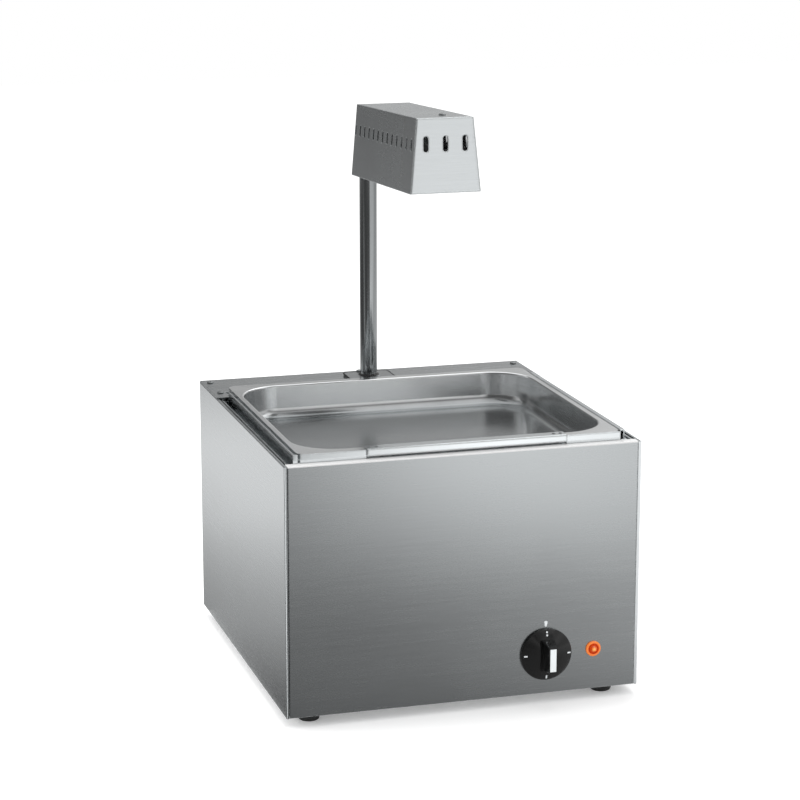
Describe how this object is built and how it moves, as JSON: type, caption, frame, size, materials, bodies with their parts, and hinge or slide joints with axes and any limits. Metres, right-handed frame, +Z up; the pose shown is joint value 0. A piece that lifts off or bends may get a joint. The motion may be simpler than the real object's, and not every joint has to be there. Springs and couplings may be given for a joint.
{
  "type": "heated food scuttle",
  "caption": "Countertop heated food scuttle: a sheet-steel casing with a lift-out pan, a base heating element, a rotary selector and an overhead lamp head on a post.",
  "frame": {"origin": "middle of the bounding box at the plane on which the feet stand", "axes": "+X to the right of a person at the front, +Y from the front to the back, +Z up"},
  "size_m": [0.39, 0.45, 0.6243],
  "materials": {
    "brushed_steel": "fine brushed stainless steel",
    "satin_steel": "satin drawn stainless steel",
    "polished_steel": "polished stainless tube",
    "screw_steel": "plated screw steel",
    "galvanised_steel": "plain galvanised sheet",
    "reflector_aluminium": "bright aluminium",
    "black_plastic": "satin black moulded plastic",
    "white_plastic": "white plastic insert",
    "amber_lens": "amber lens",
    "foot_rubber": "black rubber",
    "ceramic": "unglazed ceramic",
    "quartz": "quartz tube",
    "element_alloy": "oxidised heating element sheath",
    "insulation": "mineral fibre slab",
    "terminal_plastic": "cream terminal plastic"
  },
  "bodies": {
    "housing": {"back_panel": "brushed_steel", "back_screws": "screw_steel", "base_element": "element_alloy", "base_plate": "galvanised_steel", "cable_gland": "black_plastic", "channel_tray": "satin_steel", "element_clips": "galvanised_steel", "element_well": "galvanised_steel", "foot_front_left": "foot_rubber", "foot_front_right": "foot_rubber", "foot_rear_left": "foot_rubber", "foot_rear_right": "foot_rubber", "foot_screws": "screw_steel", "front_panel": "brushed_steel", "gland_nut": "black_plastic", "head_cover": "brushed_steel", "head_front_plate": "brushed_steel", "head_rear_plate": "brushed_steel", "head_screws": "screw_steel", "heat_lamp": "quartz", "insulation": "insulation", "lamp_guard": "polished_steel", "lamp_holders": "ceramic", "ledge_screws": "screw_steel", "left_side_panel": "brushed_steel", "limit_thermostat": "ceramic", "pan_frame": "brushed_steel", "pilot_body": "black_plastic", "pilot_lens": "amber_lens", "pilot_nut": "black_plastic", "post_backing": "galvanised_steel", "post_flange": "brushed_steel", "post_plate": "brushed_steel", "post_screws": "screw_steel", "post_tube": "polished_steel", "rear_ledge": "brushed_steel", "reflector": "reflector_aluminium", "right_side_panel": "brushed_steel", "selector_switch": "black_plastic", "terminal_block": "terminal_plastic", "well_left_end": "galvanised_steel", "well_right_end": "galvanised_steel"},
    "knob": {"knob": "black_plastic", "knob_pointer": "white_plastic", "selector_shaft": "screw_steel"},
    "pan": {"pan": "satin_steel", "pan_front_lip": "brushed_steel", "lip_rivets": "screw_steel"}
  },
  "joints": [
    {"name": "knob_turn", "type": "hinge", "parent": "housing", "child": "knob", "pos_m": [0.09, -0.2, 0.0563], "axis": [0, 1, 0], "range_deg": [0, 270]},
    {"name": "pan_lift", "type": "slide", "parent": "housing", "child": "pan", "axis": [0, 0, 1], "range_m": [0, 0.12]}
  ]
}
